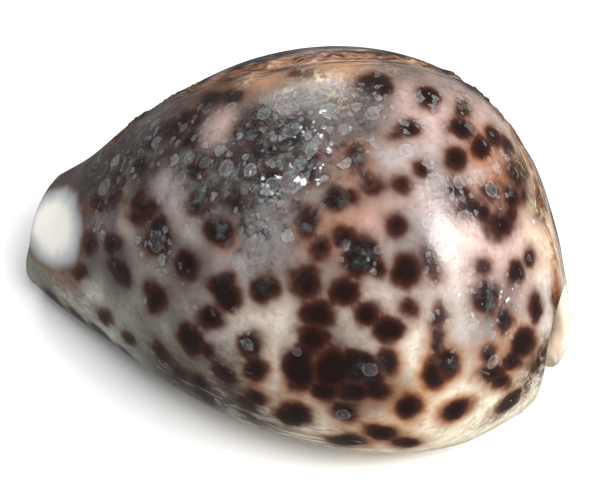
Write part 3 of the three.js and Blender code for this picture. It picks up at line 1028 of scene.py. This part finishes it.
def stained(tree, under, colour, distance, full_at, gone_at, strength):
    """Colour over what is under it: full where the distance is at full_at, none at gone_at."""
    smoothly = {"interpolation_type": "SMOOTHSTEP"}
    share = add(tree, RANGE, span(distance, full_at, gone_at, 1.0, 0.0), smoothly)[0]
    amount = add(tree, MATH, {0: share, 1: strength}, TIMES)[0]
    return add(tree, BLEND, {0: amount, 6: under, 7: to_linear(colour)}, COLOURS)[2]


def near(tree, value, middle_of_it, reach, most):
    """The most where the value is at the middle, falling to none a reach away from it."""
    away = add(tree, MATH, {0: value, 1: middle_of_it}, LESS)[0]
    away = add(tree, MATH, {0: away}, {"operation": "ABSOLUTE"})[0]
    return add(tree, RANGE, span(away, 0.0, reach, most, 0.0))[0]


def knocked(tree, share, speckle, fill, rim_strength):
    """How white a round knock is, by the share of the way to its edge: hazy, with a paler rim."""
    disc = add(tree, RANGE, span(share, 0.75, 1.08, fill, 0.0))[0]
    paler = near(tree, share, 0.86, 0.18, rim_strength)
    whole = add(tree, MATH, {0: disc, 1: paler}, PLUS)[0]
    return add(tree, MATH, {0: whole, 1: speckle}, TIMES)[0]


def shifted(tree, noise, most, value):
    """A value moved up and down by a noise, by the most between the noise's ends."""
    moved = add(tree, MATH, {0: noise, 1: most, 2: value}, TIMES_PLUS)[0]
    return add(tree, MATH, {0: moved, 1: most / 2}, LESS)[0]


def spots_on(tree, base, read, wander, fray):
    """Dark spots: smoky at the edge, orange brown on pale ground, then brown to nearly black."""
    edge = shifted(tree, wander, 2.6, read["spot"])
    edge = shifted(tree, fray, 0.3, edge)
    base = stained(tree, base, "#4e433d", edge, 0.2, 3.4, 0.55)
    orange = add(tree, MATH, {0: read["paleness"], 1: 0.15, 2: read["warm_edge"]}, TIMES_PLUS)[0]
    orange = add(tree, MATH, {0: orange, 1: 0.75}, TIMES)[0]
    base = stained(tree, base, "#a5662f", edge, 0.2, 2.4, orange)
    base = stained(tree, base, "#40180d", edge, -0.3, 1.2, 0.95)
    return stained(tree, base, "#140806", edge, -1.2, 0.7, 0.95)


def back_line_on(tree, base, read, wander, fray, drift):
    """The back line: a rusty seam, with dark and straw coloured streaks that run along it."""
    at = {"X": read["along_line"], "Y": read["off_line"]}
    at = add(tree, "ShaderNodeCombineXYZ", at)[0]
    at = add(tree, VECTOR_MATH, {0: at, 1: STREAKS_DRAWN_OUT}, TIMES)[0]
    streaky = {"Vector": at, "Scale": 1 / STREAKS, "Roughness": 0.65, "Distortion": 0.3}
    streaky["Detail"] = 5.0
    streaks = add(tree, NOISE, streaky)[0]
    off_line = shifted(tree, wander, 2.4, read["off_line"])
    broken = add(tree, RANGE, span(drift, 0.34, 0.5, 0.3, 1.0))[0]
    rust = add(tree, RANGE, span(fray, 0.36, 0.5, 0.1, 0.85))[0]
    rust = add(tree, MATH, {0: rust, 1: broken}, TIMES)[0]
    rearwards = span(read["along_line"], DARK_UNTIL, DARK_GONE, 1.0, 0.25)
    rearwards = add(tree, RANGE, rearwards)[0]
    dark = add(tree, RANGE, span(streaks, 0.53, 0.43, 0.0, 0.9))[0]
    dark = add(tree, MATH, {0: dark, 1: rearwards}, TIMES)[0]
    straw = add(tree, RANGE, span(streaks, 0.55, 0.64, 0.0, 0.8))[0]
    base = stained(tree, base, "#9c5a2a", off_line, 0.4, 2.6, rust)
    base = stained(tree, base, "#1c1310", off_line, 2.4, 8.0, dark)
    return stained(tree, base, "#c4b291", off_line, 1.6, 6.0, straw)


def crust_and_wisps_on(tree, base, read, place):
    """Crumbs of the crust, and wisps drawn out along the shell."""
    crumbly = {"Vector": place, "Scale": 1 / CRUMBLING, "Detail": 5.0, "Roughness": 0.6}
    crumbs = add(tree, NOISE, crumbly)[0]
    base = stained(tree, base, "#7c5f4e", crumbs, 0.36, 0.5, read["crumb"])
    base = stained(tree, base, "#c8b690", crumbs, 0.6, 0.46, read["crumb"])
    at = add(tree, VECTOR_MATH, {0: place, 1: WISPS_DRAWN_OUT}, TIMES)[0]
    wispy = {"Vector": at, "Scale": 1 / WISPINESS, "Roughness": 0.6, "Distortion": 0.5}
    wispy["Detail"] = 5.0
    wisps = add(tree, NOISE, wispy)[0]
    base = stained(tree, base, "#2a241c", wisps, 0.46, 0.56, read["wisp"])
    return stained(tree, base, "#958b76", wisps, 0.7, 0.6, read["wisp"])


def knocks_on(tree, base, read, place, bent, fray, speckle):
    """Whitish knocks in the enamel, alone and in crowds; also how strong they are everywhere."""
    middles = add(tree, "ShaderNodeAttribute", None, {"attribute_name": "knock_middle"})["Vector"]
    apart = {"operation": "DISTANCE"}
    away = add(tree, VECTOR_MATH, {0: place, 1: middles}, apart)["Value"]
    share = add(tree, MATH, {0: away, 1: read["knock_reach"]}, OVER)[0]
    share = shifted(tree, fray, 0.5, share)
    bruise = knocked(tree, share, speckle, 0.22, 0.32)
    bruise = add(tree, MATH, {0: bruise, 1: read["knock_strength"]}, TIMES)[0]

    # Between the knocks of a crowd the skin is darker, and most where the ground is dark.
    gap_depth = add(tree, RANGE, span(read["paleness"], 0.1, 0.7, 0.7, 0.12))[0]
    gaps = 0.0
    for spacing, depth in CROWDS:
        cells = add(tree, CELLS, {"Vector": bent, "Scale": 1 / spacing})
        chance = add(tree, PARTS, {0: cells["Color"]})
        reach = add(tree, RANGE, span(chance["Y"], 0.0, 1.0, 0.2, 0.5))[0]
        share = add(tree, MATH, {0: cells["Distance"], 1: reach}, OVER)[0]
        share = shifted(tree, fray, 0.9, share)
        crowd = knocked(tree, share, speckle, 0.38, 0.2)
        missing = add(tree, MATH, {0: chance["X"], 1: read["scuff"]}, LESS)[0]
        there = add(tree, RANGE, span(missing, -0.3, 0.0, depth, 0.0))[0]
        crowd = add(tree, MATH, {0: crowd, 1: there}, TIMES)[0]
        bruise = add(tree, MATH, {0: bruise, 1: crowd}, LARGER)[0]
        gap = near(tree, share, 1.16, 0.2, gap_depth)
        gap = add(tree, MATH, {0: gap, 1: there}, TIMES)[0]
        gaps = add(tree, MATH, {0: gap, 1: gaps}, LARGER)[0]
    base = add(tree, BLEND, {0: gaps, 6: base, 7: to_linear("#1c1b1c")}, COLOURS)[2]
    base = add(tree, BLEND, {0: bruise, 6: base, 7: to_linear("#a6a7a8")}, COLOURS)[2]
    return base, bruise


def painted_glints_on(tree, base, read, bent, speckle_noise):
    """Painted glints: bright specks up to about 1 mm wide, each of its own size."""
    dots = add(tree, CELLS, {"Vector": bent, "Scale": 1 / GLINT_SPACING})
    chance = add(tree, PARTS, {0: dots["Color"]})
    missing = add(tree, MATH, {0: chance["X"], 1: read["painted_glint"]}, LESS)[0]
    size = add(tree, RANGE, span(chance["Y"], 0.2, 1.0, 0.14, 0.58))[0]
    share = add(tree, MATH, {0: dots["Distance"], 1: size}, OVER)[0]
    share = shifted(tree, speckle_noise, 2.0, share)
    strength = add(tree, RANGE, span(missing, -0.2, 0.0, 0.85, 0.0))[0]
    # The bright colour is a painted glint.
    return stained(tree, base, "#dfe2e2", share, 0.5, 1.0, strength)


def cowrie_enamel():
    """Cowrie enamel, laid down glossy by the living animal: clear layers over brown stains in
    cream, so the spots have soft, smoky edges under a hard, wet-looking skin with a few knocks."""
    material = bpy.data.materials.new("cowrie_enamel")
    tree = empty_tree(material)
    place = add(tree, "ShaderNodeTexCoord")["Object"]
    place = add(tree, VECTOR_MATH, {0: place, "Scale": MILLIMETRES}, SCALED)[0]
    names = ["spot", "off_line", "along_line", "cloud", "scuff", "worn_tip_and_shade", "painted", "paleness"]
    names += ["knock_reach", "knock_strength", "painted_glint", "warm_edge", "crumb", "wisp"]
    kinds = {name: {"attribute_name": name} for name in names + ["ground"]}
    read = {name: add(tree, "ShaderNodeAttribute", None, kinds[name])["Fac"] for name in names}
    ground = add(tree, "ShaderNodeAttribute", None, kinds["ground"])["Color"]

    wander = {"Vector": place, "Scale": 1 / WANDER, "Detail": 2.0}
    wander = add(tree, NOISE, wander)[0]
    fray = add(tree, NOISE, {"Vector": place, "Scale": 1 / FRAY, "Detail": 3.0})[0]
    bent = {"Vector": place, "Scale": 1 / BENDING, "Detail": 3.0}
    bent = add(tree, NOISE, bent)["Color"]
    bent = add(tree, VECTOR_MATH, {0: bent, "Scale": BENT_BY}, SCALED)[0]
    bent = add(tree, VECTOR_MATH, {0: bent, 1: place}, PLUS)[0]

    # The ground: shades that drift, with fine brown freckles in some places
    drift = add(tree, NOISE, {"Vector": place, "Scale": 1 / DRIFT, "Detail": 4.0})[0]
    tone = add(tree, RANGE, span(drift, 0.3, 0.7, 0.8, 1.15))[0]
    base = add(tree, VECTOR_MATH, {0: ground, "Scale": tone}, SCALED)[0]
    freckled = {"Vector": place, "Scale": 1 / FRECKLES, "Detail": 4.0, "Roughness": 0.6}
    freckles = add(tree, NOISE, freckled)[0]
    base = stained(tree, base, "#4a332a", freckles, 0.34, 0.54, 0.26)
    base = spots_on(tree, base, read, wander, fray)

    # Clouds of thick enamel, dark or whitish grey, broken up by a finer grain
    veil = add(tree, RANGE, span(freckles, 0.35, 0.62, 0.1, 1.0))[0]
    veil = add(tree, MATH, {0: read["cloud"], 1: veil}, TIMES)[0]
    curdled = {"Vector": place, "Scale": 1 / CURDS, "Detail": 4.0, "Distortion": 0.6}
    curds = add(tree, NOISE, curdled)[0]
    curds = add(tree, RANGE, span(curds, 0.45, 0.66, 0.0, 1.0))[0]
    greys = {0: curds, 6: to_linear("#181b1c"), 7: to_linear("#5f6768")}
    greys = add(tree, BLEND, greys, COLOURS)[2]
    base = add(tree, BLEND, {0: veil, 6: base, 7: greys}, COLOURS)[2]

    base = back_line_on(tree, base, read, wander, fray, drift)
    base = crust_and_wisps_on(tree, base, read, place)
    grainy = {"Vector": place, "Scale": 1 / SPECKLE, "Detail": 5.0, "Roughness": 0.7}
    grain = add(tree, NOISE, grainy)[0]
    speckle = add(tree, RANGE, span(grain, 0.38, 0.62, 0.35, 1.2))[0]
    base, bruise = knocks_on(tree, base, read, place, bent, fray, speckle)
    # Painted glints: bright specks that stand in for light caught on tiny chips
    base = painted_glints_on(tree, base, read, bent, grain)

    # The base, the lips and the inside stay white to cream.
    pale = {0: tone, 6: to_linear("#efe8dc"), 7: to_linear("#e2d6c5")}
    pale = add(tree, BLEND, pale, COLOURS)[2]
    along = add(tree, PARTS, {0: place})["X"]
    pale = stained(tree, pale, "#b59f89", along, BEIGE_FROM, PALE_UNTIL, 0.9)
    base = add(tree, BLEND, {0: read["painted"], 6: pale, 7: base}, COLOURS)[2]

    # The worn front tip, white with a bluish rim of painted shade over an orange-brown one
    tip_edge = shifted(tree, wander, 1.6, read["worn_tip_and_shade"])
    base = stained(tree, base, "#6b4630", tip_edge, 0.2, 2.6, 0.7)
    # The bluish rim is painted shade along the edge of the white tip.
    base = stained(tree, base, "#bcc0c4", tip_edge, -0.6, 1.4, 0.9)
    base = stained(tree, base, "#fffcf3", tip_edge, -3.0, 0.0, 1.0)

    # Relief: scratches and pits too fine for the mesh, and the edges of the knocks
    pits = add(tree, NOISE, {"Vector": place, "Scale": 1 / PITS, "Detail": 5.0})[0]
    dulled = add(tree, MATH, {0: bruise, 1: veil}, LARGER)[0]
    worn_skin = add(tree, MATH, {0: read["scuff"], 1: 0.22}, TIMES)[0]
    dulled = add(tree, MATH, {0: dulled, 1: worn_skin}, LARGER)[0]
    relief = add(tree, MATH, {0: bruise, 1: -0.6, 2: pits}, TIMES_PLUS)[0]
    strength = add(tree, RANGE, span(dulled, 0.0, 0.6, 0.05, 0.6))[0]
    bump = {"Strength": strength, "Distance": SCRATCH_DEPTH, "Height": relief}
    bump = add(tree, "ShaderNodeBump", bump)[0]
    skin = {
        "Base Color": base,
        "Roughness": add(tree, RANGE, span(dulled, 0.0, 0.6, 0.18, 0.42))[0],
        "IOR": 1.45,
        "Coat Weight": 0.25,
        "Coat Roughness": 0.06,
        "Normal": bump,
    }
    skin = add(tree, "ShaderNodeBsdfPrincipled", skin)[0]
    add(tree, "ShaderNodeOutputMaterial", {"Surface": skin})
    return material


# The roller's marks on the floor: how many to a metre, and how deep in metres
STIPPLES = 400.0
STIPPLE_DEPTH = 0.0001


def floor_paint():
    """Matt white paint on board, as on a studio floor, with a faint roller texture."""
    material = bpy.data.materials.new("matt_white_paint")
    tree = empty_tree(material)
    place = add(tree, "ShaderNodeTexCoord")["Object"]
    stipple = add(tree, NOISE, {"Vector": place, "Scale": STIPPLES, "Detail": 2.0})[0]
    bump = {"Strength": 0.05, "Distance": STIPPLE_DEPTH, "Height": stipple}
    bump = add(tree, "ShaderNodeBump", bump)[0]
    paint = {"Base Color": to_linear("#f2f2f2"), "Roughness": 0.75, "Normal": bump}
    paint = add(tree, "ShaderNodeBsdfPrincipled", paint)[0]
    add(tree, "ShaderNodeOutputMaterial", {"Surface": paint})
    return material


# The floor, the lights and the camera
FLOOR_HALF = 1.5


def make_floor():
    mesh = bpy.data.meshes.new("floor")
    signs = ((-1, -1), (1, -1), (1, 1), (-1, 1))
    mesh.from_pydata([(x * FLOOR_HALF, y * FLOOR_HALF, 0) for x, y in signs], [], [(0, 1, 2, 3)])
    mesh.materials.append(floor_paint())
    return placed("floor", mesh)


# Flat soft boxes: azimuth and elevation in degrees, distance, width and height in m, power in W
LIGHTS = {
    "window": (97, 26, 0.6, 0.16, 0.13, 1.25),
    "glow": (92, 15, 0.7, 0.5, 0.4, 0.25),
    "key": (62, 56, 0.9, 0.6, 0.6, 13.0),
    "fill": (-60, 50, 1.1, 0.6, 0.6, 2.2),
    "rear": (215, 35, 0.9, 0.4, 0.3, 2.0),
}
LIT_PLACE = (0, 0, 0.02)


def soft_light(name, azimuth, elevation, reach, width, height, power):
    """A flat soft box that faces the shell from this side."""
    data = bpy.data.lights.new(name, "AREA")
    data.shape = "RECTANGLE"
    data.size = width
    data.size_y = height
    data.energy = power
    light = placed(name, data)
    way = Vector(way_from(azimuth, elevation))
    light.location = Vector(LIT_PLACE) + reach * way
    light.rotation_euler = way.to_track_quat("Z", "Y").to_euler()
    return light


def make_camera():
    data = bpy.data.cameras.new("camera")
    data.lens = LENS
    data.sensor_width = SENSOR
    data.clip_start = 0.01
    data.clip_end = 10
    camera = placed("camera", data)
    turn = Matrix([right_way, up_way, back_way]).transposed().to_4x4()
    camera.matrix_world = Matrix.Translation(Vector(eye / MILLIMETRES)) @ turn
    bpy.context.scene.camera = camera


def make_world():
    world = bpy.data.worlds.new("studio")
    tree = empty_tree(world)
    shade = {"Color": to_linear("#f4f5f7"), "Strength": 0.14}
    shade = add(tree, "ShaderNodeBackground", shade)[0]
    add(tree, "ShaderNodeOutputWorld", {"Surface": shade})
    bpy.context.scene.world = world


shell = finish_shell(build_shell(), cowrie_enamel())
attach(shell, "root")
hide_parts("shell")
floor = make_floor()
make_world()
lights = {name: soft_light(name, *values) for name, values in LIGHTS.items()}
# The floor and the two broad lights are kept out of the gloss, as black flags do in a studio.
for unseen in (floor, lights["key"], lights["fill"]):
    unseen.visible_glossy = False
bpy.context.scene.view_settings.view_transform = "Standard"
make_camera()
